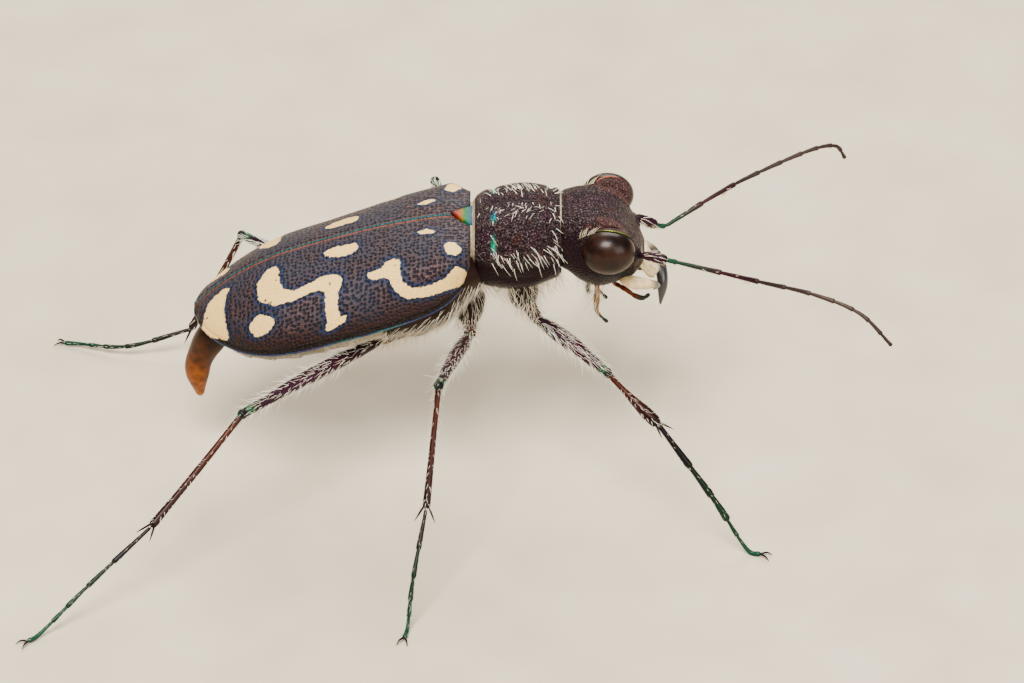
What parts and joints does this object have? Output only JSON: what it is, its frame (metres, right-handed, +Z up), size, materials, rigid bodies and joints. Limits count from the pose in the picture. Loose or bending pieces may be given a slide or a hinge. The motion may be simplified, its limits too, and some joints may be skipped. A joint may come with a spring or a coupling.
{
  "type": "tiger beetle",
  "caption": "Still life-size model of a tiger beetle standing tall on six long legs, with patterned wing cases, bulging eyes, curved jaws and long feelers spread forward.",
  "frame": {"origin": "on the floor, below the middle of the animal's box", "axes": "+X towards the head, +Y to the animal's left, +Z up"},
  "size_m": [0.025, 0.0204, 0.0088],
  "materials": {
    "wing_case": "satin bronze-brown beetle cuticle with dark blue pits and cream markings, standing in for chitin",
    "bronze_cuticle": "dark bronze granular cuticle",
    "scutellum": "green and copper metallic cuticle",
    "eye": "glossy dark brown, finely faceted",
    "jaw": "smooth cream cuticle",
    "lip_palp": "smooth tan cuticle",
    "feeler": "dark metallic cuticle",
    "leg": "purple-brown metallic cuticle with white bristles",
    "foot": "dark teal metallic cuticle",
    "belly": "brown-grey metallic cuticle under white hairs",
    "tail_tip": "translucent orange-brown cuticle"
  },
  "bodies": {
    "root": {"abdomen": "belly", "abdomen_tip": "tail_tip", "antenna_left_scape": "feeler", "antenna_left_stem": "feeler", "antenna_left_whip": "feeler", "antenna_right_scape": "feeler", "antenna_right_stem": "feeler", "antenna_right_whip": "feeler", "elytron_left": "wing_case", "elytron_right": "wing_case", "eye_left": "eye", "eye_right": "eye", "head": "bronze_cuticle", "labial_palp_left": "lip_palp", "labial_palp_right": "lip_palp", "labrum": "jaw", "leg_fore_left_coxa": "leg", "leg_fore_left_femur": "leg", "leg_fore_left_tarsus": "foot", "leg_fore_left_tibia": "leg", "leg_fore_right_coxa": "leg", "leg_fore_right_femur": "leg", "leg_fore_right_tarsus": "foot", "leg_fore_right_tibia": "leg", "leg_hind_left_coxa": "leg", "leg_hind_left_femur": "leg", "leg_hind_left_tarsus": "foot", "leg_hind_left_tibia": "leg", "leg_hind_right_coxa": "leg", "leg_hind_right_femur": "leg", "leg_hind_right_tarsus": "foot", "leg_hind_right_tibia": "leg", "leg_middle_left_coxa": "leg", "leg_middle_left_femur": "leg", "leg_middle_left_tarsus": "foot", "leg_middle_left_tibia": "leg", "leg_middle_right_coxa": "leg", "leg_middle_right_femur": "leg", "leg_middle_right_tarsus": "foot", "leg_middle_right_tibia": "leg", "mandible_left": "jaw", "mandible_right": "jaw", "maxillary_palp_left": "feeler", "maxillary_palp_right": "feeler", "pronotum": "bronze_cuticle", "scutellum": "scutellum", "thorax": "belly"}
  },
  "joints": []
}
